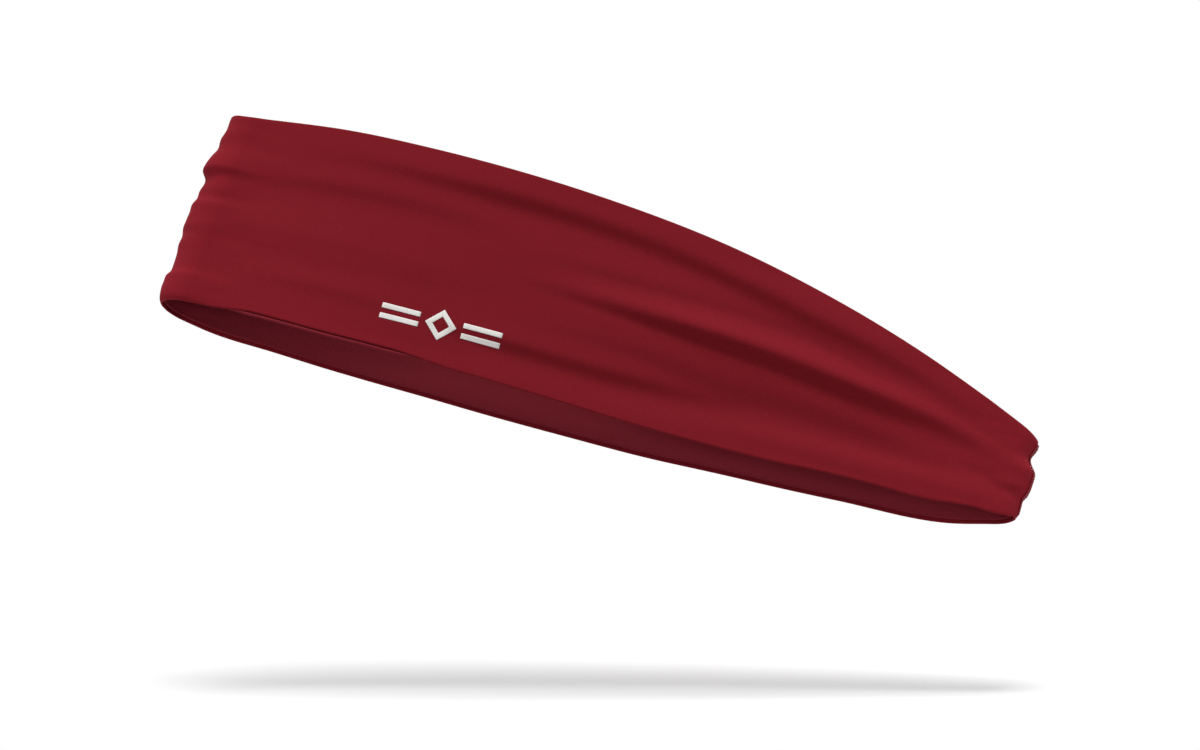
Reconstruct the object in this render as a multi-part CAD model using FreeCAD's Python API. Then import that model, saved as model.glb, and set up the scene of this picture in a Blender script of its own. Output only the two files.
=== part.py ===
"""A tapered sports headband: a two-layer loop of stretch knit, wide at the forehead and
narrow at the nape, lying nearly flat with its mouth slightly open.

Frame: +X runs along the flat band from the forehead bend to the nape seam, +Y across the
mouth to the far side, and +Z up along the loop's axis. The origin is at the middle of the
band's footprint, on the plane that the lower rim stands on. Everything is in millimetres.
"""

import FreeCAD, Part
import math
import os

Vec = FreeCAD.Vector

# Overall sizes of the band as it lies
BAND_LENGTH = 235.0
MOUTH_WIDTH = 32.0
CROWN_HEIGHT = 57.7
FOREHEAD_DROP = 3.7
NAPE_HEIGHT = 21.0

# Plan of the loop
WIDEST_FROM_FOREHEAD = 75.0
FOREHEAD_BEND_RADIUS = 8.0
NAPE_BEND_RADIUS = 6.0
FOREHEAD_LEAN = 5.0

# Side view of the loop
CROWN_FROM_FOREHEAD = 73.0
RIM_FLAT_FROM_FOREHEAD = 48.0
RIM_FLAT_LENGTH = 114.0
RIM_END_RADIUS = 450.0

# Cloth, bonding tapes and seam; bonded faces lie a glue line apart
CLOTH = 0.7
GLUE_LINE = 0.05
TAPE = 0.25
TAPE_WIDTH = 6.0
RIM_SETBACK = 0.4
SEAM_SLIT = 0.2
SEAM_TAPE = 0.3
SEAM_TAPE_REACH = 3.2
SEAM_TAPE_INSET = 1.5

# Flatlock stitches over the nape seam
THREAD = 0.3
STITCH_SPAN = 5.0
STITCH_PITCH = 1.5
STITCH_INSET = 1.6

# Heat transfers
FILM = 0.12
MARK_FROM_FOREHEAD = 73.0
MARK_CENTRE_HEIGHT = 11.0
MARK_LENGTH = 33.0
MARK_HEIGHT = 8.6
MARK_STROKE = 1.4
MARK_GAP = 1.6
CARE_LENGTH = 16.0
CARE_HEIGHT = 10.0
CARE_CORNER = 1.5
CARE_FROM_NAPE = 34.0
CARE_CENTRE_HEIGHT = 17.0

# Places that follow from the sizes above
FOREHEAD_X = -BAND_LENGTH / 2
NAPE_X = BAND_LENGTH / 2 - GLUE_LINE - THREAD
WIDEST_X = FOREHEAD_X + WIDEST_FROM_FOREHEAD
CROWN_X = FOREHEAD_X + CROWN_FROM_FOREHEAD
RIM_FLAT_START = FOREHEAD_X + RIM_FLAT_FROM_FOREHEAD
RIM_FLAT_END = RIM_FLAT_START + RIM_FLAT_LENGTH
FORE_TOP_X = FOREHEAD_X + FOREHEAD_LEAN
FORE_TOP = CROWN_HEIGHT - FOREHEAD_DROP
FORE_LOW = RIM_END_RADIUS - math.sqrt(RIM_END_RADIUS**2 - RIM_FLAT_FROM_FOREHEAD**2)
NAPE_LOW = RIM_END_RADIUS - math.sqrt(RIM_END_RADIUS**2 - (NAPE_X - RIM_FLAT_END) ** 2)
NAPE_TOP = NAPE_LOW + NAPE_HEIGHT
LAYER_GAP = TAPE + 2 * GLUE_LINE
INNER_OFFSET = CLOTH + LAYER_GAP
WALL = INNER_OFFSET + CLOTH
REACH = 20.0
OVERRUN = 5.0


def side_arc_radius(run, end_radius):
    """Radius of the arc that leaves the widest point level and meets an end bend smoothly."""
    half = MOUTH_WIDTH / 2
    return (run**2 + half**2 - end_radius**2) / (MOUTH_WIDTH - 2 * end_radius)


def plan_wire(offset, height):
    """The loop's plan, moved inwards by offset: two end bends and two arcs on each side."""
    lean = FOREHEAD_LEAN * (height - FORE_LOW) / (FORE_TOP - FORE_LOW)
    fore_centre = Vec(FOREHEAD_X + lean + FOREHEAD_BEND_RADIUS, 0, height)
    nape_centre = Vec(NAPE_X - NAPE_BEND_RADIUS, 0, height)
    edges = []
    for side in (-1, 1):
        widest = Vec(WIDEST_X, side * (MOUTH_WIDTH / 2 - offset), height)
        halves = []
        for centre, bend, tip in (
            (fore_centre, FOREHEAD_BEND_RADIUS, Vec(-1, 0, 0)),
            (nape_centre, NAPE_BEND_RADIUS, Vec(1, 0, 0)),
        ):
            radius = side_arc_radius(abs(centre.x - WIDEST_X), bend)
            middle = Vec(WIDEST_X, side * (MOUTH_WIDTH / 2 - radius), height)
            outward = (centre - middle).normalize()
            tangent = centre + outward * (bend - offset)
            between = (outward + Vec(0, side, 0)).normalize()
            flank = middle + between * (radius - offset)
            corner = centre + (outward + tip).normalize() * (bend - offset)
            end = centre + tip * (bend - offset)
            halves.append(
                [
                    Part.Arc(end, corner, tangent).toShape(),
                    Part.Arc(tangent, flank, widest).toShape(),
                ]
            )
        edges += halves[0] + halves[1]
    return Part.Wire(Part.__sortEdges__(edges))


def loop_solid(offset):
    """Everything inside the loop's surface at this offset, from below the rim to above the crown."""
    low, high = (plan_wire(offset, z) for z in (-REACH, CROWN_HEIGHT + REACH))
    return Part.makeLoft([low, high], True, True)


def wall(outer, inner):
    """The loop's wall between two offsets, untrimmed."""
    return loop_solid(outer).cut(loop_solid(inner))


def level_arc(x_level, z_level, x_end, z_end, reach):
    """An arc that is level at its first point, passes the second, and runs on to x = x_end + reach."""
    run, drop = x_end - x_level, z_end - z_level
    radius = (run**2 + drop**2) / (2 * drop)
    last = x_end + reach

    def at(x):
        rise = radius - math.copysign(math.sqrt(radius**2 - (x - x_level) ** 2), radius)
        return Vec(x, 0, z_level + rise)

    return Part.Arc(at(x_level), at((x_level + last) / 2), at(last)).toShape()


def side_prism(low_inset, high_inset):
    """The band's side view between its two rims, each moved inwards, as a prism across the mouth."""
    top, bottom = CROWN_HEIGHT - high_inset, low_inset
    edges = [
        level_arc(CROWN_X, top, FORE_TOP_X, FORE_TOP - high_inset, -OVERRUN - FOREHEAD_LEAN),
        level_arc(CROWN_X, top, NAPE_X, NAPE_TOP - high_inset, OVERRUN),
        level_arc(RIM_FLAT_START, bottom, FOREHEAD_X, bottom + FORE_LOW, -OVERRUN),
        level_arc(RIM_FLAT_END, bottom, NAPE_X, bottom + NAPE_LOW, OVERRUN),
        Part.makeLine(Vec(RIM_FLAT_START, 0, bottom), Vec(RIM_FLAT_END, 0, bottom)),
    ]
    for upper, lower in ((edges[0], edges[2]), (edges[1], edges[3])):
        edges.append(Part.makeLine(upper.Vertexes[-1].Point, lower.Vertexes[-1].Point))
    face = Part.Face(Part.Wire(Part.__sortEdges__(edges)))
    face.translate(Vec(0, -MOUTH_WIDTH, 0))
    return face.extrude(Vec(0, 2 * MOUTH_WIDTH, 0))


def seam_cutter():
    """The slit where the strip's two ends meet at the nape."""
    length = NAPE_BEND_RADIUS
    return Part.makeBox(
        2 * length, SEAM_SLIT, 4 * REACH + CROWN_HEIGHT, Vec(NAPE_X - length, -SEAM_SLIT / 2, -2 * REACH)
    )


def slab(x_low, x_high, y_low, y_high, z_low, z_high):
    return Part.makeBox(x_high - x_low, y_high - y_low, z_high - z_low, Vec(x_low, y_low, z_low))


def outer_layer():
    return wall(0, CLOTH).common(side_prism(0, 0)).cut(seam_cutter())


def inner_layer():
    layer = wall(INNER_OFFSET, WALL).common(side_prism(RIM_SETBACK, RIM_SETBACK))
    return layer.cut(seam_cutter())


def edge_tape(upper):
    """The bonding film between the layers along one rim."""
    film = wall(CLOTH + GLUE_LINE, CLOTH + GLUE_LINE + TAPE)
    beyond = RIM_SETBACK + TAPE_WIDTH
    rest = side_prism(0, beyond) if upper else side_prism(beyond, 0)
    return film.common(side_prism(RIM_SETBACK, RIM_SETBACK)).cut(rest).cut(seam_cutter())


def nape_seam_tape():
    """The tape bonded over the seam, on the inner layer's inside."""
    face = WALL + GLUE_LINE
    patch = wall(face, face + SEAM_TAPE).common(side_prism(SEAM_TAPE_INSET, SEAM_TAPE_INSET))
    x_from = NAPE_X - face - SEAM_TAPE_REACH
    half = MOUTH_WIDTH / 2
    return patch.common(slab(x_from, NAPE_X, -half, half, -REACH, CROWN_HEIGHT))


def nape_seam_thread():
    """Short stitches across the seam, each lying on the outer layer."""
    loops = wall(-GLUE_LINE - THREAD, -GLUE_LINE)
    low = NAPE_LOW + STITCH_INSET
    room = NAPE_TOP - STITCH_INSET - THREAD - low
    count = int(room / STITCH_PITCH) + 1
    first = low + (room - (count - 1) * STITCH_PITCH) / 2
    stitches = []
    for i in range(count):
        z = first + i * STITCH_PITCH
        half = STITCH_SPAN / 2
        stitches.append(loops.common(slab(NAPE_X - half, NAPE_X + REACH, -half, half, z, z + THREAD)))
    return Part.makeCompound(stitches)


def bar_face(x_low, x_high, z_middle, height):
    half = height / 2
    corners = [(x_low, -half), (x_high, -half), (x_high, half), (x_low, half), (x_low, -half)]
    return Part.Face(Part.makePolygon([Vec(x, 0, z_middle + z) for x, z in corners]))


def diamond_face(x_middle, z_middle, half_width, half_height):
    corners = [(-half_width, 0), (0, -half_height), (half_width, 0), (0, half_height), (-half_width, 0)]
    return Part.Face(Part.makePolygon([Vec(x_middle + x, 0, z_middle + z) for x, z in corners]))


def front_transfer():
    """A plain ornament in heat-transfer film: an open diamond between two pairs of bars."""
    x = FOREHEAD_X + MARK_FROM_FOREHEAD
    z = MARK_CENTRE_HEIGHT
    half_height = MARK_HEIGHT / 2
    slope = MARK_STROKE * math.sqrt(2)
    diamond = diamond_face(x, z, half_height, half_height)
    diamond = diamond.cut(diamond_face(x, z, half_height - slope, half_height - slope))
    faces = [diamond]
    bar_start = half_height + MARK_GAP
    for side in (-1, 1):
        for level in (-1, 1):
            ends = sorted((x + side * bar_start, x + side * MARK_LENGTH / 2))
            faces.append(bar_face(*ends, z + level * MARK_STROKE, MARK_STROKE))
    film = wall(-GLUE_LINE - FILM, -GLUE_LINE)
    return Part.makeCompound([film.common(face.extrude(Vec(0, -MOUTH_WIDTH, 0))) for face in faces])


def care_transfer():
    """The blank care patch on the inside of the far side, near the nape."""
    x, z = NAPE_X - CARE_FROM_NAPE, CARE_CENTRE_HEIGHT
    patch = slab(
        x - CARE_LENGTH / 2, x + CARE_LENGTH / 2, 0, MOUTH_WIDTH / 2, z - CARE_HEIGHT / 2, z + CARE_HEIGHT / 2
    )
    corners = [e for e in patch.Edges if abs(e.tangentAt(e.FirstParameter).y) > 0.9]
    patch = patch.makeFillet(CARE_CORNER, corners)
    face = WALL + GLUE_LINE
    return wall(face, face + FILM).common(patch)


def main():
    nodes = {
        "outer_layer": outer_layer(),
        "inner_layer": inner_layer(),
        "upper_edge_tape": edge_tape(True),
        "lower_edge_tape": edge_tape(False),
        "nape_seam_tape": nape_seam_tape(),
        "nape_seam_thread": nape_seam_thread(),
        "front_transfer": front_transfer(),
        "care_transfer": care_transfer(),
    }
    os.makedirs("parts", exist_ok=True)
    for name, shape in nodes.items():
        solids = shape.Solids
        body = solids[0] if len(solids) == 1 else Part.makeCompound(solids)
        body.exportStep(f"parts/{name}.step")
        box = body.optimalBoundingBox()
        print(
            f"{name}: {len(solids)} solids, valid {body.isValid()}, {body.Volume:.1f} mm3, "
            f"x {box.XMin:.2f}..{box.XMax:.2f} y {box.YMin:.2f}..{box.YMax:.2f} "
            f"z {box.ZMin:.2f}..{box.ZMax:.2f}"
        )


main()
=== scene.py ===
import math

import bpy
import numpy as np
from mathutils import Matrix, Vector


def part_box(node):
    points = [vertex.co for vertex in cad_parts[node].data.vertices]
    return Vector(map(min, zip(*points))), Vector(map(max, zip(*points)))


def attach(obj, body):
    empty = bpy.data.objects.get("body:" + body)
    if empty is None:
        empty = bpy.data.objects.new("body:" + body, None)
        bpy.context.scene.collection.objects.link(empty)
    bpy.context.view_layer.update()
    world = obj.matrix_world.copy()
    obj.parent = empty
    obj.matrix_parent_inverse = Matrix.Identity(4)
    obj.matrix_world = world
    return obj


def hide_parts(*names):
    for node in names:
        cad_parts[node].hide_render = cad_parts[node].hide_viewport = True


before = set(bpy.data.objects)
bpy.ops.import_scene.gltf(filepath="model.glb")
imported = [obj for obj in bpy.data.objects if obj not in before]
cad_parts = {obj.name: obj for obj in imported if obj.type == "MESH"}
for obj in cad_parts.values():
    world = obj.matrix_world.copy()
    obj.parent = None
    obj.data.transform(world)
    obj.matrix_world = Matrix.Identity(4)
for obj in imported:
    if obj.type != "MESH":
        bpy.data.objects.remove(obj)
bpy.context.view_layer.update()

mm = 0.001  # shapes are worked out in millimetres and stored in metres


def nodeBox(node):
    return [np.array(corner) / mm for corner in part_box(node)]


def ease(x, start, end):  # 0 up to start, 1 from end, smooth between them
    t = np.clip((x - start) / (end - start), 0, 1)
    return t * t * (3 - 2 * t)


def bell(x, reach):  # 1 at 0, and nearly nothing at three times the reach
    return np.exp(-0.5 * (x / reach) ** 2)


def curveThrough(points, x):  # a smooth line through the points, level beyond both ends
    px, py = np.array(points, float).T
    slope = np.gradient(py, px)
    x = np.clip(x, px[0], px[-1])
    i = np.clip(np.searchsorted(px, x) - 1, 0, len(px) - 2)
    step = px[i + 1] - px[i]
    t = (x - px[i]) / step
    rise = py[i] * (1 + 2 * t) * (1 - t) ** 2 + py[i + 1] * t**2 * (3 - 2 * t)
    return rise + step * (slope[i] * t * (1 - t) ** 2 - slope[i + 1] * t**2 * (1 - t))


def waver(x, y, seed, cells=64):  # smooth noise between -1 and 1
    heights = np.random.default_rng(seed).uniform(-1, 1, (cells, cells))
    i, j = np.floor(x).astype(int), np.floor(y).astype(int)
    u, v = ease(x - i, 0, 1), ease(y - j, 0, 1)
    i, j = i % cells, j % cells
    k, l = (i + 1) % cells, (j + 1) % cells
    low = heights[i, j] * (1 - u) + heights[k, j] * u
    high = heights[i, l] * (1 - u) + heights[k, l] * u
    return low * (1 - v) + high * v


# The loop: its plan and its two rims

loop = {
    "foreheadBend": 8.0,  # radius of the front fold
    "napeBend": 6.0,
    "widestFrom": 75.0,  # distances from the forehead end
    "crownFrom": 73.0,
    "rimLevelFrom": 48.0,
    "rimLevelLength": 114.0,
    "rimEndRadius": 450.0,
    "foreheadDrop": 3.7,  # fall of the upper rim from the crown to the forehead
    "napeHeight": 21.0,
    "foreheadLean": 5.0,
    "napeWrap": 3.5,  # length of the nape fold beyond its own reach in x
    "edgeZone": 3.0,  # strip along each rim with its own close rows
}

outerLow, outerHigh = nodeBox("outer_layer")
markLow, markHigh = nodeBox("front_transfer")
careLow, careHigh = nodeBox("care_transfer")
foreheadX, napeX = outerLow[0], outerHigh[0]
halfMouth, crownZ = outerHigh[1], outerHigh[2]
widestX = foreheadX + loop["widestFrom"]
crownX = foreheadX + loop["crownFrom"]
levelStart = foreheadX + loop["rimLevelFrom"]
levelEnd = levelStart + loop["rimLevelLength"]


def sideArc(end, bend):
    run = abs(end - widestX)
    radius = (run**2 + halfMouth**2 - bend**2) / (2 * (halfMouth - bend))
    return radius, math.asin(run / (radius - bend))


def halfLoop(samples=1200):
    napeCentre = napeX - loop["napeBend"]
    foreCentre = foreheadX + loop["foreheadBend"]
    napeRadius, napeTurn = sideArc(napeCentre, loop["napeBend"])
    foreRadius, foreTurn = sideArc(foreCentre, loop["foreheadBend"])
    right = math.pi / 2
    arcs = [  # centre, radius, first and last direction of the outward normal
        (napeCentre, 0, loop["napeBend"], 0, napeTurn - right),
        (widestX, napeRadius - halfMouth, napeRadius, napeTurn - right, -right),
        (widestX, foreRadius - halfMouth, foreRadius, -right, -right - foreTurn),
        (foreCentre, 0, loop["foreheadBend"], -right - foreTurn, -math.pi),
    ]
    places, normals = [], []
    for x, y, radius, first, last in arcs:
        turn = np.linspace(first, last, samples)
        normal = np.stack([np.cos(turn), np.sin(turn)], axis=1)
        places.append(np.array([x, y]) + radius * normal)
        normals.append(normal)
    places, normals = np.concatenate(places), np.concatenate(normals)
    steps = np.linalg.norm(np.diff(places, axis=0), axis=1)
    return np.concatenate([[0], np.cumsum(steps)]), places, normals


planRun, planPlace, planNormal = halfLoop()
halfLength = planRun[-1]


def plan(along):  # along is the length from the nape seam, negative on the far side
    run, side = np.abs(along), np.where(along >= 0, 1.0, -1.0)
    x, y = (np.interp(run, planRun, planPlace[:, i]) for i in (0, 1))
    nx, ny = (np.interp(run, planRun, planNormal[:, i]) for i in (0, 1))
    return x, y * side, nx, ny * side


def alongAt(x):  # the near side's length from the seam at a place in x
    return np.interp(-x, -planPlace[:, 0], planRun)


def unrolledX(along):  # place in x with the nape fold rolled out straight
    return napeX + loop["napeWrap"] - along


def lowerRim(x):
    run = np.maximum(np.maximum(levelStart - x, x - levelEnd), 0)
    return loop["rimEndRadius"] - np.sqrt(loop["rimEndRadius"] ** 2 - run**2)


foreLow, napeLow = lowerRim(foreheadX), lowerRim(napeX)
foreTop = crownZ - loop["foreheadDrop"]
rimDrift = {  # places in x, and how far the soft rim lies above the drawn one there
    "upper": [(-118, 2.7), (-114.5, 1.5), (-110, 1.2), (-104, 1.2), (-88, 1.2), (-60, 0.6),
              (-15, 0.6), (25, 1.4), (80, 1.0), (118, 0.5)],
    "nearLower": [(-118, -1.1), (-108, -0.2), (-96, 0.5), (-70, 0.3), (-30, -0.2), (22, -1.1),
                  (48, -0.5), (62, 0.4), (76, 0.4), (91, -0.6), (104, -0.4), (112, -1.2), (118, -0.4)],
    "farLower": [(-118, -1.1), (-104, -1.4), (-86, -0.2), (-66, 0.0), (-20, -0.7), (10, -0.8),
                 (44, 0.1), (70, -0.1), (100, -1.7), (110, -0.92), (118, -0.4)],
}


def leanShare(x):
    return np.clip((widestX - x) / (widestX - foreheadX), 0, 1)


def upperRim(x):
    leaning = x + loop["foreheadLean"] * leanShare(x)
    foreRun = crownX - foreheadX - loop["foreheadLean"]
    napeRun, napeDrop = napeX - crownX, crownZ - napeLow - loop["napeHeight"]
    run = np.abs(leaning - crownX)
    foreRadius = (foreRun**2 + loop["foreheadDrop"] ** 2) / (2 * loop["foreheadDrop"])
    napeRadius = (napeRun**2 + napeDrop**2) / (2 * napeDrop)
    radius = np.where(leaning < crownX, foreRadius, napeRadius)
    return crownZ - radius + np.sqrt(radius**2 - run**2)


def rims(along):  # heights of both rims of the outer cloth
    x = plan(along)[0]
    near, far = (curveThrough(rimDrift[side], x) for side in ("nearLower", "farLower"))
    low = lowerRim(x) + np.where(along >= 0, near, far)
    return low, upperRim(x) + curveThrough(rimDrift["upper"], x)


# The cloth's relief: soft pleats that gather at the nape, and crumples at both end folds

# path in x and z; slope at the line; reach above and below it, at its first and last point;
# start and end are the stretches of x over which a pleat fades in and out
nearPleats = [
    {"path": [(-104, 47), (-88, 49), (-55, 49.8), (-22, 49.5), (12, 46.8), (47, 40.4), (82, 33), (112, 24)],
     "slope": 0.46, "above": (1.9, 2.4), "below": (2.0, 3.2), "start": (-112, -30), "end": (64, 112)},
    {"path": [(-111, 38.9), (-86, 40.8), (-60, 41.9), (-36, 41.5)],
     "slope": 0.25, "above": (2.0, 2.4), "below": (2.2, 3.0), "start": (-122, -80), "end": (-58, -24)},
    {"path": [(-28, 28.8), (6, 27.4), (40, 26.1), (74, 23.3), (94, 21.5), (114, 17)],
     "slope": 1.1, "above": (1.9, 2.4), "below": (1.5, 1.8), "start": (-34, 34), "end": (62, 112)},
    {"path": [(-24, 37), (4, 36.6), (36, 36.4), (52, 35), (70, 31.2)],
     "slope": 0.22, "above": (2.6, 2.6), "below": (1.6, 1.6), "start": (-40, 0), "end": (60, 84)},
    {"path": [(-29, 33.5), (-6, 32.2), (27, 31.2), (61, 29.4), (84, 27), (109, 21.4)],
     "slope": -0.18, "above": (1.8, 1.8), "below": (2.2, 2.2), "start": (-36, 24), "end": (98, 124)},
    {"path": [(-50, 10.6), (-23, 10.1), (10, 10.2), (32, 11.5), (54, 16), (76, 15)],
     "slope": 0.46, "above": (1.7, 2.4), "below": (1.8, 2.8), "start": (-56, -26), "end": (0, 48)},
    {"path": [(-40, 19.8), (-14, 18.4), (6, 18), (32, 15.6), (53, 15.8), (76, 14.8), (96, 13.4)],
     "slope": 0.18, "above": (2.2, 2.4), "below": (2.4, 3.0), "start": (-60, 64), "end": (70, 100)},
    {"path": [(-16, 23.6), (20, 23.2), (48, 21)],
     "slope": 0.15, "above": (1.6, 1.6), "below": (2.2, 2.2), "start": (-26, 6), "end": (32, 60)},
    {"path": [(-24, 19), (16, 18.6), (56, 17.6), (96, 15)],
     "slope": 0.2, "above": (4.6, 4.6), "below": (5.0, 4.4), "start": (-40, 24), "end": (62, 104)},
    {"path": [(-60, 7.8), (-21, 4.9), (23, 6.2), (66, 8.2), (98, 9.6), (112, 10)],
     "slope": -0.26, "above": (2.6, 3.2), "below": (2.6, 2.8), "start": (-30, 70), "end": (96, 124)},
    {"path": [(16, 3.0), (52, 3.4), (78, 3.8), (98, 5.4)],
     "slope": 0.12, "above": (1.4, 1.4), "below": (1.2, 1.2), "start": (16, 50), "end": (66, 90)},
    {"path": [(-100, 12.6), (-78, 12), (-58, 11.6)],
     "slope": 0.16, "above": (1.8, 1.8), "below": (2.2, 2.2), "start": (-104, -80), "end": (-66, -50)},
    {"path": [(-108, 21.6), (-80, 20.6), (-50, 21.4), (-30, 21)],
     "slope": 0.11, "above": (2, 2), "below": (2.2, 2.2), "start": (-116, -92), "end": (-56, -34)},
]
farPleats = [
    {"path": [(-60, 5), (-20, 5), (20, 5)],
     "slope": 0.26, "above": (5, 5), "below": (5, 5), "start": (-64, -40), "end": (-6, 24)},
    {"path": [(-98, 46), (-40, 49), (8, 46.5), (44, 40), (80, 32.5), (102, 27)],
     "slope": 0.55, "above": (5, 3.2), "below": (4.5, 2.8), "start": (-116, -50), "end": (84, 110)},
    {"path": [(-110, 30), (-72, 31.5), (-30, 31)],
     "slope": 0.31, "above": (3, 4), "below": (3, 4), "start": (-122, -104), "end": (-58, -26)},
    {"path": [(-6, 33), (34, 30), (70, 26.2), (104, 21.6), (114, 21)],
     "slope": 1.0, "above": (2.6, 2.6), "below": (3, 2.4), "start": (-22, 28), "end": (104, 122)},
    {"path": [(-60, 17), (-14, 15.5), (30, 14.5), (70, 13.5), (100, 12.5)],
     "slope": 0.42, "above": (3.4, 2.4), "below": (2.6, 2.2), "start": (-70, -20), "end": (66, 108)},
    {"path": [(10, 7.5), (50, 8), (112, 8.5)],
     "slope": -0.26, "above": (2.8, 2.4), "below": (2.8, 2.4), "start": (0, 40), "end": (96, 124)},
]
pleatShape = {"core": 0.9, "fade": 2.6}  # shares of the reach: the steep line, and how far its step carries
napeCrumple = {"base": -1.4, "reach": 5.4, "lobes": [  # height, how far out, reach above and below
    (26.6, 1.6, 2.6, 1.9), (17.8, 2.5, 1.9, 4.0), (12.9, 0.8, 2.0, 1.1), (7.5, 0.8, 3.0, 3.5)]}
foreheadCrumple = {"base": 1.2, "reach": 9.0, "lobes": [
    (56.0, 0.3, 1.5, 1.5), (50.2, 0.6, 2.2, 1.8), (40.6, 1.9, 3.6, 1.2), (34.5, 0.7, 3.0, 2.4),
    (29.8, 1.1, 1.2, 1.6), (25.5, 0.9, 2.2, 5.5), (8.8, 1.0, 0.8, 2.8), (-0.5, -2.0, 1.6, 2.6)]}
# ripples: size along the strip and up it, in mm; shift moves their noise up or down
rippleAlong = {"size": (34.0, 4.5), "height": 0.16, "shift": 8, "seed": 11}
ripplesAtEnds = {"size": (9.0, 2.6), "height": 0.25, "shift": 8, "reach": 14.0, "seed": 23}
seamDimple = {"depth": 0.3, "reach": 0.7, "calm": 6.0}  # the ripples fade out over the calm length


def pleat(fold, x, z):
    share = ease(x, fold["path"][0][0], fold["path"][-1][0])
    q = z - curveThrough(fold["path"], x)
    above, below = (first + (last - first) * share for first, last in (fold["above"], fold["below"]))
    reach = np.where(q > 0, above, below)
    strength = fold["slope"] * ease(x, *fold["start"]) * (1 - ease(x, *fold["end"]))
    step = pleatShape["core"] * reach
    return strength * step * np.tanh(q / step) * bell(q, pleatShape["fade"] * reach)


def crumple(bunch, distance, z):
    out = bunch["base"]
    for height, far, above, below in bunch["lobes"]:
        q = z - height
        out = out + far * bell(q, np.where(q > 0, above, below))
    return out * bell(distance, bunch["reach"])


def relief(along, z):
    out = sum(pleat(fold, unrolledX(along), z) for fold in nearPleats)
    out = out + sum(pleat(fold, unrolledX(-along), z) for fold in farPleats)
    fromNape, fromForehead = np.abs(along), halfLength - np.abs(along)
    out = out + crumple(napeCrumple, fromNape, z) + crumple(foreheadCrumple, fromForehead, z)
    around = np.where(along >= 0, along, along + 2 * halfLength)
    awayFromSeam = ease(fromNape, 0, seamDimple["calm"])
    nearEnds = sum(bell(distance, ripplesAtEnds["reach"]) for distance in (fromNape, fromForehead))
    for ripple, share in ((rippleAlong, 1), (ripplesAtEnds, nearEnds)):
        length, height = ripple["size"]
        noise = waver(around / length, z / height + ripple["shift"], ripple["seed"])
        out = out + awayFromSeam * share * ripple["height"] * noise
    return out - seamDimple["depth"] * bell(along, seamDimple["reach"])


def clothAt(along, z, depth):  # depth runs inwards from the outer face
    x, y, nx, ny = plan(along)
    lean = loop["foreheadLean"] * leanShare(x) * (z - foreLow) / (foreTop - foreLow)
    out = relief(along, z) - depth
    return np.stack(np.broadcast_arrays(x + lean + nx * out, y + ny * out, z), axis=-1)


print("loop: half length", round(float(halfLength), 1), "mm")


# Materials


def newMaterial(name):
    material = bpy.data.materials.new(name)
    material.use_nodes = True
    return material, material.node_tree, material.node_tree.nodes["Principled BSDF"]


def calc(tree, operation, *values):
    step = tree.nodes.new("ShaderNodeMath")
    step.operation = operation
    for socket, value in zip(step.inputs, values):
        if isinstance(value, bpy.types.NodeSocket):
            tree.links.new(value, socket)
        else:
            socket.default_value = value
    return step.outputs[0]


def blendColors(tree, share, low, high):
    step = tree.nodes.new("ShaderNodeMix")
    step.data_type = "RGBA"
    for socket, value in zip((step.inputs[0], step.inputs[6], step.inputs[7]), (share, low, high)):
        if isinstance(value, bpy.types.NodeSocket):
            tree.links.new(value, socket)
        else:
            socket.default_value = value if isinstance(value, float) else (*value, 1)
    return step.outputs[2]


def cloudy(tree, size, where, detail=2.0):  # noise with features of this size in mm
    step = tree.nodes.new("ShaderNodeTexNoise")
    step.inputs["Scale"].default_value = 1 / (size * mm)
    step.inputs["Detail"].default_value = detail
    tree.links.new(where, step.inputs["Vector"])
    return step.outputs["Fac"]


def objectPlace(tree):
    return tree.nodes.new("ShaderNodeTexCoord").outputs["Object"]


def clothMap(tree):  # lengths along the strip and up it
    step = tree.nodes.new("ShaderNodeUVMap")
    step.uv_map = "cloth"
    split = tree.nodes.new("ShaderNodeSeparateXYZ")
    tree.links.new(step.outputs[0], split.inputs[0])
    return split.outputs[0], split.outputs[1]


def sine(tree, turns):
    return calc(tree, "SINE", calc(tree, "MULTIPLY", turns, 2 * math.pi))


def wave(tree, turns):  # a sine between 0 and 1
    return calc(tree, "MULTIPLY_ADD", sine(tree, turns), 0.5, 0.5)


def knitLoops(tree, knit):  # height of a jersey's loops, from 0 to 1
    across, up = clothMap(tree)
    wale = calc(tree, "DIVIDE", across, knit["wale"] * mm)
    course = calc(tree, "DIVIDE", up, knit["course"] * mm)
    leg = calc(tree, "ABSOLUTE", calc(tree, "SUBTRACT", calc(tree, "FRACT", wale), 0.5))
    loops = wave(tree, calc(tree, "MULTIPLY_ADD", leg, knit["slant"], course))
    yarn = calc(tree, "ABSOLUTE", sine(tree, wale))
    rise = calc(tree, "MULTIPLY_ADD", loops, 1 - knit["valley"], knit["valley"])
    return calc(tree, "MULTIPLY", yarn, rise)


def addFinish(shader, look):
    shader.inputs["Roughness"].default_value = look["roughness"]
    shader.inputs["Specular IOR Level"].default_value = look["gloss"]
    if "sheen" in look:
        shader.inputs["Sheen Weight"].default_value = look["sheen"]
        shader.inputs["Sheen Roughness"].default_value = look["sheenRoughness"]
        shader.inputs["Sheen Tint"].default_value = (*look["sheenTint"], 1)


def addBump(tree, shader, height, look):
    bump = tree.nodes.new("ShaderNodeBump")
    bump.inputs["Strength"].default_value = look["bump"]
    bump.inputs["Distance"].default_value = look["relief"] * mm
    tree.links.new(height, bump.inputs["Height"])
    tree.links.new(bump.outputs[0], shader.inputs["Normal"])


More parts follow.
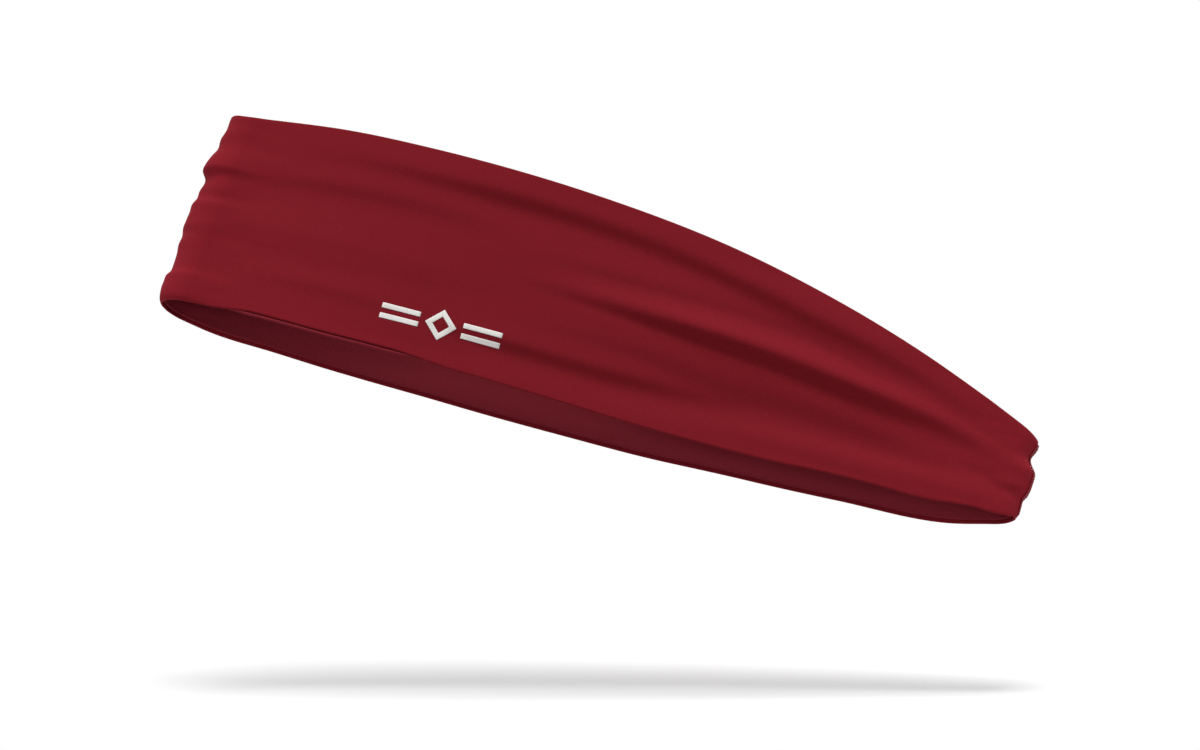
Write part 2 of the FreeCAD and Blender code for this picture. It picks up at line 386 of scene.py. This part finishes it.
outerKnit = {
    # raised and deep: colours on the loops' tops and in the dips between them; the darker dips are painted
    # shade
    "raised": (0.237, 0.0101, 0.0182), "deep": (0.12, 0.0065, 0.0105), "patch": (0.163, 0.0078, 0.0136),
    "wale": 0.62, "course": 0.5, "slant": 1.7,  # loop sizes in mm, and how far their legs lean
    "valley": 0.55,  # height of the dip between two loops, as a share of the loop's
    "relief": 0.1, "bump": 0.5, "fuzz": 0.4, "fuzzSize": 0.12,
    "darkest": 0.1, "loopShare": 0.5, "heatherShare": 0.5, "heatherSize": 0.5,
    "patchShare": 0.3, "patchSize": 22.0, "roughness": 0.88, "gloss": 0.06,
    "sheen": 0.1, "sheenRoughness": 0.5, "sheenTint": (0.9, 0.12, 0.16),
}
# the inner layer's knit: its greener, bluer colours paint the cool cast of the shade inside the loop
innerKnit = dict(outerKnit, raised=(0.228, 0.019, 0.031), deep=(0.122, 0.011, 0.018), wale=0.7, course=0.56)


def knitMaterial(name, knit):
    material, tree, shader = newMaterial(name)
    place, loops = objectPlace(tree), knitLoops(tree, knit)
    heather = cloudy(tree, knit["heatherSize"], place, detail=3.0)
    heather = calc(tree, "MULTIPLY_ADD", heather, knit["heatherShare"], knit["darkest"])
    # colour from deep to raised: painted shade in the dips between the loops, mixed with the heather's
    # random tone
    shade = calc(tree, "MULTIPLY_ADD", loops, knit["loopShare"], heather)
    color = blendColors(tree, shade, knit["deep"], knit["raised"])
    patches = calc(tree, "MULTIPLY", cloudy(tree, knit["patchSize"], place), knit["patchShare"])
    tree.links.new(blendColors(tree, patches, color, knit["patch"]), shader.inputs["Base Color"])
    addFinish(shader, knit)
    fuzz = calc(tree, "MULTIPLY", cloudy(tree, knit["fuzzSize"], place, detail=1.0), knit["fuzz"])
    addBump(tree, shader, calc(tree, "ADD", loops, fuzz), knit)
    return material


transferFilm = {
    "bright": (0.86, 0.83, 0.79), "dull": (0.6, 0.59, 0.58),
    "bead": 0.28, "contrast": 1.8, "level": -0.35,  # bead size in mm, and how its noise turns to speckle
    "weave": 0.5,  # how much of the knit below shows through
    "relief": 0.04, "bump": 0.4, "roughness": 0.42, "gloss": 0.4,
}


def filmMaterial(name, look):
    material, tree, shader = newMaterial(name)
    beads = cloudy(tree, look["bead"], objectPlace(tree))
    speckle = calc(tree, "MULTIPLY_ADD", beads, look["contrast"], look["level"])
    tree.links.new(blendColors(tree, speckle, look["dull"], look["bright"]), shader.inputs["Base Color"])
    addFinish(shader, look)
    addBump(tree, shader, calc(tree, "MULTIPLY_ADD", knitLoops(tree, outerKnit), look["weave"], beads), look)
    return material


bondingFilm = {"low": (0.11, 0.006, 0.011), "high": (0.17, 0.009, 0.015), "grain": 0.35,
               "relief": 0.04, "bump": 0.4, "roughness": 0.75, "gloss": 0.08}
carePrint = {"low": (0.24, 0.13, 0.14), "high": (0.36, 0.24, 0.25), "grain": 0.3,
             "relief": 0.04, "bump": 0.4, "roughness": 0.6, "gloss": 0.15}


def smoothFilmMaterial(name, look):
    material, tree, shader = newMaterial(name)
    grain = cloudy(tree, look["grain"], objectPlace(tree))
    tree.links.new(blendColors(tree, grain, look["low"], look["high"]), shader.inputs["Base Color"])
    addFinish(shader, look)
    addBump(tree, shader, calc(tree, "ADD", grain, knitLoops(tree, innerKnit)), look)
    return material


sewingThread = {"low": (0.14, 0.007, 0.012), "high": (0.28, 0.015, 0.025), "twist": 0.5,
                "relief": 0.05, "bump": 0.6, "roughness": 0.6, "gloss": 0.15,
                "sheen": 0.08, "sheenRoughness": 0.5, "sheenTint": (0.9, 0.15, 0.19)}


def threadMaterial(name, look):
    material, tree, shader = newMaterial(name)
    along, around = clothMap(tree)
    perTwist = 1 / (look["twist"] * mm)
    lay = calc(tree, "MULTIPLY", along, perTwist)
    ply = wave(tree, calc(tree, "MULTIPLY_ADD", around, perTwist, lay))
    # the thread darkens in the grooves between its plies: painted shade
    tree.links.new(blendColors(tree, ply, look["low"], look["high"]), shader.inputs["Base Color"])
    addFinish(shader, look)
    addBump(tree, shader, ply, look)
    return material


# Meshes


def newPiece(name, parts, material, node):
    mesh = bpy.data.meshes.new(name)
    points, faces, uv = [], [], []
    for partPoints, partFaces, partUv in parts:
        start = len(points)
        points += [tuple(p) for p in np.asarray(partPoints).reshape(-1, 3) * mm]
        faces += [tuple(start + i for i in face) for face in partFaces]
        uv += partUv
    mesh.from_pydata(points, [], faces)
    mesh.uv_layers.new(name="cloth").data.foreach_set("uv", (np.array(uv, np.float32) * mm).ravel())
    mesh.polygons.foreach_set("use_smooth", [True] * len(faces))
    mesh.materials.append(material)
    mesh.update()
    piece = bpy.data.objects.new(name, mesh)
    bpy.context.collection.objects.link(piece)
    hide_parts(node)
    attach(piece, "root")
    print(name, "-", len(points), "points,", len(faces), "faces")
    return piece


def grid(points, across, up, closedRing=False):
    # a sheet swept along its columns, each a closed ring of rows; across and up are its cloth map
    cols, rows = points.shape[:2]
    faces, uv = [], []
    for i in range(cols if closedRing else cols - 1):
        k = (i + 1) % cols
        for j in range(rows):
            l = (j + 1) % rows
            faces.append((i * rows + j, k * rows + j, k * rows + l, i * rows + l))
            uv += [(across[i], up[i][j]), (across[i + 1], up[k][j]),
                   (across[i + 1], up[k][j + 1]), (across[i], up[i][j + 1])]
    if not closedRing:
        for i, ring in ((0, range(rows)), (cols - 1, range(rows - 1, -1, -1))):
            faces.append(tuple(i * rows + j for j in ring))
            uv += [(across[i], up[i][j]) for j in ring]
    if outwardVolume(points, faces) < 0:
        faces = [face[::-1] for face in faces]
        uv = flippedUv(faces, uv)
    return points, faces, uv


def outwardVolume(points, faces):  # negative when the faces look inwards
    flat = points.reshape(-1, 3)
    flat = flat - flat.mean(axis=0)
    fan = [(face[0], face[i], face[i + 1]) for face in faces for i in range(1, len(face) - 1)]
    a, b, c = (flat[corner] for corner in np.array(fan).T)
    return float(np.sum(a * np.cross(b, c)))


def flippedUv(faces, uv):  # each face's corners in the other order
    out, start = [], 0
    for face in faces:
        out += uv[start:start + len(face)][::-1]
        start += len(face)
    return out


def ringLength(points):  # length round each column's ring, from its first row
    closed = np.concatenate([points, points[:, :1]], axis=1)
    steps = np.linalg.norm(np.diff(closed, axis=1), axis=2)
    return np.concatenate([np.zeros((len(points), 1)), np.cumsum(steps, axis=1)], axis=1)


def alongOf(around):  # the far side's lengths become negative
    return np.where(around > halfLength, around - 2 * halfLength, around)[:, None]


foldReach = (10.0, 34.0)  # from a fold: where the columns begin to spread out, and where they end


def stations(first, last, sideStep, foldStep):  # columns, closer together in both end folds
    places = [first]
    while places[-1] < last:
        here = places[-1]
        toFold = min(abs(here), abs(here - halfLength), abs(2 * halfLength - here))
        places.append(here + foldStep + (sideStep - foldStep) * float(ease(toFold, *foldReach)))
    places = np.array(places)
    return first + (places - first) * (last - first) / (places[-1] - first)


def wallSection(depth, thickness, rows, edgeRows=(0.6, 0.85, 1.1, 1.35, 1.7, 2.1, 2.5), roundSteps=6):
    # a closed ring of depth, share of the height between the two edge zones, and height in its own zone
    zone, r = loop["edgeZone"], thickness / 2
    face = [(0, up) for up in (r, *edgeRows)] + [(t, zone) for t in np.linspace(0, 1, rows)]
    face += [(1, 2 * zone - up) for up in (*edgeRows[::-1], r)]
    turns = [math.pi * k / roundSteps for k in range(1, roundSteps)]
    ring = [(depth, share, up) for share, up in face]
    ring += [(depth + r - r * math.cos(a), 1, 2 * zone - r + r * math.sin(a)) for a in turns]
    ring += [(depth + thickness, share, up) for share, up in face[::-1]]
    ring += [(depth + r + r * math.cos(a), 0, r - r * math.sin(a)) for a in turns]
    return np.array(ring).T


def wallSheet(section, around, lowInset, highInset, lip=None):
    depth, share, up = section
    along = alongOf(around)
    low, high = rims(along)
    low, high = low + lowInset(along), high - highInset(along)
    z = low + up + share * (high - low - 2 * loop["edgeZone"])
    if lip:
        depth = depth - lip(along, np.where(share > 0, loop["edgeZone"], up))
    points = clothAt(along, z, depth)
    return grid(points, around, ringLength(points) + low)


# The two knit layers

layers = {
    "cloth": 0.7, "innerDepth": 1.05,
    "rows": 78, "innerRows": 60, "sideStep": 1.25, "foldStep": 0.5,
    "seamGap": 0.1,  # from the seam's middle to each end of the strip
    "innerInset": 0.9,  # the inner layer's edges lie inside the outer layer's
    # here the outer rim rides up, and the inner one curls out under it
    "peek": {"height": 1.0, "start": (-106, -94), "end": (-56, -38),
             "curl": 0.95, "curlFrom": 0.5, "curlTo": 1.15},
}


def peek(along):  # 1 where the inner layer shows below the outer one
    spot, x = layers["peek"], unrolledX(along)
    return ease(x, *spot["start"]) * (1 - ease(x, *spot["end"]))


def curledLip(along, up):
    spot = layers["peek"]
    return spot["curl"] * peek(along) * (1 - ease(up, spot["curlFrom"], spot["curlTo"]))


def sameInset(inset):
    return lambda along: inset + 0 * along


def knitLayer(name, node, material, depth, rows, lowInset, highInset, lip=None):
    gap = layers["seamGap"]
    around = stations(gap, 2 * halfLength - gap, layers["sideStep"], layers["foldStep"])
    sheet = wallSheet(wallSection(depth, layers["cloth"], rows), around, lowInset, highInset, lip)
    return newPiece(name, [sheet], material, node)


outerMaterial = knitMaterial("outer maroon jersey", outerKnit)
innerMaterial = knitMaterial("inner maroon jersey", innerKnit)
outerLayer = knitLayer(
    "outer_knit_layer", "outer_layer", outerMaterial, 0, layers["rows"],
    lambda along: layers["peek"]["height"] * peek(along), sameInset(0))
innerLayer = knitLayer(
    "inner_knit_layer", "inner_layer", innerMaterial,
    layers["innerDepth"], layers["innerRows"],
    lambda along: layers["innerInset"] * (1 - peek(along)), sameInset(layers["innerInset"]), curledLip)


# Bonding tapes between the layers, and the tape over the nape seam

tapes = {
    "width": 6.0, "thickness": 0.22, "depth": 0.77, "inset": 1.3, "step": 1.0, "rows": 9,
    "napeReach": 7.5, "napeThickness": 0.3, "napeInset": 1.6, "napeColumns": 31, "napeRows": 30,
    "bond": 0.04,  # glue line under the nape tape
}
tapeMaterial = smoothFilmMaterial("maroon bonding film", bondingFilm)


def tapeSection(depth, thickness, width, rows):
    ups = np.linspace(0, width, rows)
    ring = [(depth, up) for up in ups] + [(depth + thickness, up) for up in ups[::-1]]
    return np.array(ring).T


def edgeTape(name, node, upper):
    gap, step = layers["seamGap"], tapes["step"]
    around = stations(gap, 2 * halfLength - gap, step, step)
    along = alongOf(around)
    low, high = rims(along)
    depth, up = tapeSection(tapes["depth"], tapes["thickness"], tapes["width"], tapes["rows"])
    z = high - tapes["inset"] - up if upper else low + tapes["inset"] + up
    points = clothAt(along, z, depth)
    return newPiece(name, [grid(points, around, ringLength(points))], tapeMaterial, node)


upperTape = edgeTape("upper_bonding_tape", "upper_edge_tape", True)
lowerTape = edgeTape("lower_bonding_tape", "lower_edge_tape", False)


def seamTape():
    along = np.linspace(-tapes["napeReach"], tapes["napeReach"], tapes["napeColumns"])[:, None]
    low, high = rims(along)
    low, high = low + tapes["napeInset"], high - tapes["napeInset"]
    face = layers["innerDepth"] + layers["cloth"] + tapes["bond"]
    depth, share = tapeSection(face, tapes["napeThickness"], 1, tapes["napeRows"])
    points = clothAt(along, low + share * (high - low), depth)
    sheet = grid(points, along[:, 0], ringLength(points))
    return newPiece("nape_cover_tape", [sheet], tapeMaterial, "nape_seam_tape")


napeTape = seamTape()


# Flatlock stitches over the nape seam

flatlock = {
    "span": 5.0, "pitch": 1.5, "radius": 0.15, "rise": 0.1, "edge": 1.2,
    "bedded": 0.8,  # share of the radius that stays above the cloth
    "swell": 0.5, "turnShape": 0.7,  # how the loopers rise and fall, and how square their turns are
    "needleSpread": 0.92, "needleLow": 0.4, "needleRise": 1.1,
    "sides": 8, "stepsPerStitch": 28,
}
seamThread = threadMaterial("maroon sewing thread", sewingThread)


def tube(points, outward, radius, sides):
    forward = np.gradient(points, axis=0)
    forward /= np.linalg.norm(forward, axis=1, keepdims=True)
    across = np.cross(forward, outward)
    across /= np.linalg.norm(across, axis=1, keepdims=True)
    upward = np.cross(across, forward)
    turn = np.linspace(0, 2 * math.pi, sides, endpoint=False)[None, :, None]
    rings = points[:, None] + radius * (np.cos(turn) * across[:, None] + np.sin(turn) * upward[:, None])
    run = np.concatenate([[0], np.cumsum(np.linalg.norm(np.diff(points, axis=0), axis=1))])
    up = np.tile(np.linspace(0, 2 * math.pi * radius, sides + 1), (len(points), 1))
    return grid(rings, run, up)


def stitchTube(along, z, rise):
    points = clothAt(along, z, -rise)
    outward = points - clothAt(along, z, -rise + 1.0)  # from 1 mm deeper
    return tube(points, outward, flatlock["radius"], flatlock["sides"])


def seamStitches():
    half, pitch = flatlock["span"] / 2, flatlock["pitch"]
    low, high = (float(rim) for rim in rims(0.0))
    low, high = low + flatlock["edge"], high - flatlock["edge"]
    stitchCount = (high - low) / pitch
    turns = np.linspace(0, stitchCount, int(stitchCount * flatlock["stepsPerStitch"]))
    z = low + turns * pitch
    lift = flatlock["radius"] * flatlock["bedded"] + flatlock["rise"]
    parts = []
    for phase in (0.0, 0.5):  # two loopers that cross each other over the seam
        angle = 2 * math.pi * (turns + phase)
        swing = np.sin(angle)
        cross = half * np.sign(swing) * np.abs(swing) ** flatlock["turnShape"]
        parts.append(stitchTube(cross, z, lift * (1 + flatlock["swell"] * np.cos(angle))))
    for line in (-1, 0, 1):  # the needle lines that hold them down
        dip = 0.5 + 0.5 * np.cos(4 * math.pi * turns)
        place = line * half * flatlock["needleSpread"] + 0 * turns
        parts.append(stitchTube(place, z, lift * (flatlock["needleLow"] + flatlock["needleRise"] * dip)))
    return newPiece("nape_flatlock_thread", parts, seamThread, "nape_seam_thread")


stitches = seamStitches()


# The ornament on the near side and the blank care patch inside the far side

# proud and sunk: heights of the film's face and back over the cloth; shoulder: where its edge turns over
ornament = {"stroke": 1.4, "gap": 1.6, "proud": 0.12, "sunk": 0.06, "shoulder": 0.7, "step": 0.6}
carePatch = {"corner": 1.5, "proud": 0.07, "sunk": 0.05, "shoulder": 0.7, "step": 0.8}
ornamentMaterial = filmMaterial("silver white transfer film", transferFilm)
careMaterial = smoothFilmMaterial("grey care print", carePrint)


def filmPatch(edgeA, edgeB, closedRing, side, faceDepth, look):
    # film between two outlines in x and z, laid on a wall and following its relief
    width = np.linalg.norm(edgeB - edgeA, axis=1).max()
    bevel = look["proud"] / width
    inner = np.linspace(bevel, 1 - bevel, max(4, int(width / look["step"]) + 1))
    share = np.concatenate([[0, 0], inner, [1, 1], inner[::-1]])
    top, back, shoulder = look["proud"], -look["sunk"], look["proud"] * look["shoulder"]
    rise = np.concatenate([[back, shoulder], top + 0 * inner, [shoulder, back], back + 0 * inner])
    flat = edgeA[:, None] + (edgeB - edgeA)[:, None] * share[None, :, None]
    along = alongAt(flat[..., 0]) * side
    points = clothAt(along, flat[..., 1], faceDepth - rise * side)
    across = np.arange(len(flat) + 1) * look["step"]
    return grid(points, across, ringLength(points), closedRing)


def between(a, b, step):
    count = max(2, int(np.linalg.norm(np.subtract(b, a)) / step) + 1)
    return np.linspace(a, b, count)


def ornamentParts():
    x, z = (markLow[0] + markHigh[0]) / 2, (markLow[2] + markHigh[2]) / 2
    half, reach = (markHigh[2] - markLow[2]) / 2, (markHigh[0] - markLow[0]) / 2
    stroke, step = ornament["stroke"], ornament["step"]
    corners = [(-1, 0), (0, 1), (1, 0), (0, -1)]
    rings = []
    for size in (half, half - stroke * math.sqrt(2)):
        sides = [between(np.array(a) * size, np.array(b) * size, step * size / half)[:-1]
                 for a, b in zip(corners, corners[1:] + corners[:1])]
        rings.append(np.concatenate(sides) + (x, z))
    parts = [(rings[0], rings[1], True)]
    for sideways in (-1, 1):
        for level in (-1, 1):
            start, end = sorted((x + sideways * (half + ornament["gap"]), x + sideways * reach))
            middle = z + level * stroke
            top = between((start, middle + stroke / 2), (end, middle + stroke / 2), step)
            parts.append((top, top - (0, stroke), False))
    return parts


frontOrnament = newPiece(
    "front_ornament_film", [filmPatch(a, b, ring, 1, 0, ornament) for a, b, ring in ornamentParts()],
    ornamentMaterial, "front_transfer")


def careOutline():
    corner, step = carePatch["corner"], carePatch["step"]
    z = np.linspace(careLow[2], careHigh[2], 2 * int((careHigh[2] - careLow[2]) / step))
    toEdge = np.minimum(z - careLow[2], careHigh[2] - z)
    pull = corner - np.sqrt(np.maximum(corner**2 - np.maximum(corner - toEdge, 0) ** 2, 0))
    return np.stack([careLow[0] + pull, z], axis=1), np.stack([careHigh[0] - pull, z], axis=1)


careFace = layers["innerDepth"] + layers["cloth"]
careFilm = newPiece(
    "care_patch_film", [filmPatch(*careOutline(), False, -1, careFace, carePatch)],
    careMaterial, "care_transfer")


# Camera, floor and light

shot = {
    "elevation": -17.0, "roll": 15.1, "lens": 240.0, "sensor": 36.0,
    "frameWidth": 319.4,  # width of the view at the band's middle, in mm
    "aim": (-0.4, 0.0, 14.0),
}


def aimAxes():
    tilt, roll = math.radians(shot["elevation"]), math.radians(shot["roll"])
    forward = Vector((0, math.cos(tilt), -math.sin(tilt)))
    level, upright = Vector((1, 0, 0)), Vector((0, math.sin(tilt), math.cos(tilt)))
    right = level * math.cos(roll) + upright * math.sin(roll)
    return right, upright * math.cos(roll) - level * math.sin(roll), forward


viewRight, viewUp, viewForward = aimAxes()
aim = Vector(shot["aim"]) * mm


def turned(right, up, back):
    return Matrix((right, up, back)).transposed()


def addCamera():
    lens = bpy.data.cameras.new("camera")
    lens.lens, lens.sensor_width = shot["lens"], shot["sensor"]
    camera = bpy.data.objects.new("camera", lens)
    bpy.context.collection.objects.link(camera)
    distance = shot["frameWidth"] * mm * shot["lens"] / shot["sensor"]
    camera.matrix_world = turned(viewRight, viewUp, -viewForward).to_4x4()
    camera.location = aim - viewForward * distance
    bpy.context.scene.camera = camera


addCamera()

floorPlan = {
    "drop": 83.4, "back": 12.0, "tip": 6.2,  # below and behind the aim, in mm, and tipped in degrees
    "size": (640.0, 140.0), "white": 0.41, "grey": 0.445,
}


def throughLens(tree):  # 1 where the camera sees it, directly or in a mirror or glass
    path = tree.nodes.new("ShaderNodeLightPath")
    seen = calc(tree, "MAXIMUM", path.outputs["Is Camera Ray"], path.outputs["Is Glossy Ray"])
    return calc(tree, "MAXIMUM", seen, path.outputs["Is Transmission Ray"])


def addFloor():
    tip = math.radians(floorPlan["tip"])
    normal = viewUp * math.cos(tip) - viewForward * math.sin(tip)
    deep = normal.cross(viewRight)
    centre = aim + (viewForward * floorPlan["back"] - viewUp * floorPlan["drop"]) * mm
    halfWide, halfDeep = (size / 2 * mm for size in floorPlan["size"])
    corners = [centre + viewRight * a * halfWide + deep * b * halfDeep
               for a, b in ((-1, -1), (1, -1), (1, 1), (-1, 1))]
    mesh = bpy.data.meshes.new("floor")
    mesh.from_pydata(corners, [], [(0, 1, 2, 3)])
    material, tree, shader = newMaterial("white floor")
    shader.inputs["Base Color"].default_value = (floorPlan["grey"],) * 3 + (1,)
    shader.inputs["Roughness"].default_value = 1.0
    shader.inputs["Specular IOR Level"].default_value = 0.0
    glow = tree.nodes.new("ShaderNodeEmission")
    glow.inputs["Strength"].default_value = floorPlan["white"]
    both, pick = tree.nodes.new("ShaderNodeAddShader"), tree.nodes.new("ShaderNodeMixShader")
    tree.links.new(shader.outputs[0], both.inputs[0])
    tree.links.new(glow.outputs[0], both.inputs[1])
    tree.links.new(throughLens(tree), pick.inputs[0])
    tree.links.new(shader.outputs[0], pick.inputs[1])
    tree.links.new(both.outputs[0], pick.inputs[2])
    # nothing is seen of it from below, so that it doesn't hide the band in other views
    side, clear = tree.nodes.new("ShaderNodeNewGeometry"), tree.nodes.new("ShaderNodeBsdfTransparent")
    shown = tree.nodes.new("ShaderNodeMixShader")
    tree.links.new(side.outputs["Backfacing"], shown.inputs[0])
    tree.links.new(pick.outputs[0], shown.inputs[1])
    tree.links.new(clear.outputs[0], shown.inputs[2])
    tree.links.new(shown.outputs[0], tree.nodes["Material Output"].inputs["Surface"])
    mesh.materials.append(material)
    floor = bpy.data.objects.new("floor", mesh)
    bpy.context.collection.objects.link(floor)


addFloor()

worldLight = {"ambient": 0.2}


def addWorld():
    world = bpy.data.worlds.new("studio")
    world.use_nodes = True
    bpy.context.scene.world = world
    tree = world.node_tree
    background = tree.nodes["Background"]
    background.inputs["Color"].default_value = (1, 1, 1, 1)
    lit = calc(tree, "MULTIPLY_ADD", throughLens(tree), 1 - worldLight["ambient"], worldLight["ambient"])
    tree.links.new(lit, background.inputs["Strength"])


addWorld()

lamps = {  # place as right, up and towards the viewer, in metres; size in metres; power in watts
    "key softbox": {"place": (0.02, 2.45, 0.4), "size": 1.15, "power": 70.0},
    "fill softbox": {"place": (-0.3, 0.0, 1.25), "size": 0.6, "power": 3.4},
    "left strip": {"place": (-0.27, 0.03, 0.08), "size": 0.1, "power": 0.12},
    "right strip": {"place": (0.27, -0.03, 0.08), "size": 0.1, "power": 0.15},
    "rear softbox": {"place": (0.1, 0.55, -1.15), "size": 0.5, "power": 13.0},
}


def addLamp(name, place, size, power):
    light = bpy.data.lights.new(name, "AREA")
    light.shape, light.size, light.energy = "DISK", size, power
    lamp = bpy.data.objects.new(name, light)
    bpy.context.collection.objects.link(lamp)
    lamp.location = aim + viewRight * place[0] + viewUp * place[1] - viewForward * place[2]
    lamp.visible_camera = False
    lamp.rotation_euler = (aim - lamp.location).to_track_quat("-Z", "Y").to_euler()


for name, lamp in lamps.items():
    addLamp(name, **lamp)

bpy.context.scene.view_settings.view_transform = "Standard"
print("stage: camera, floor and", len(lamps), "lamps")
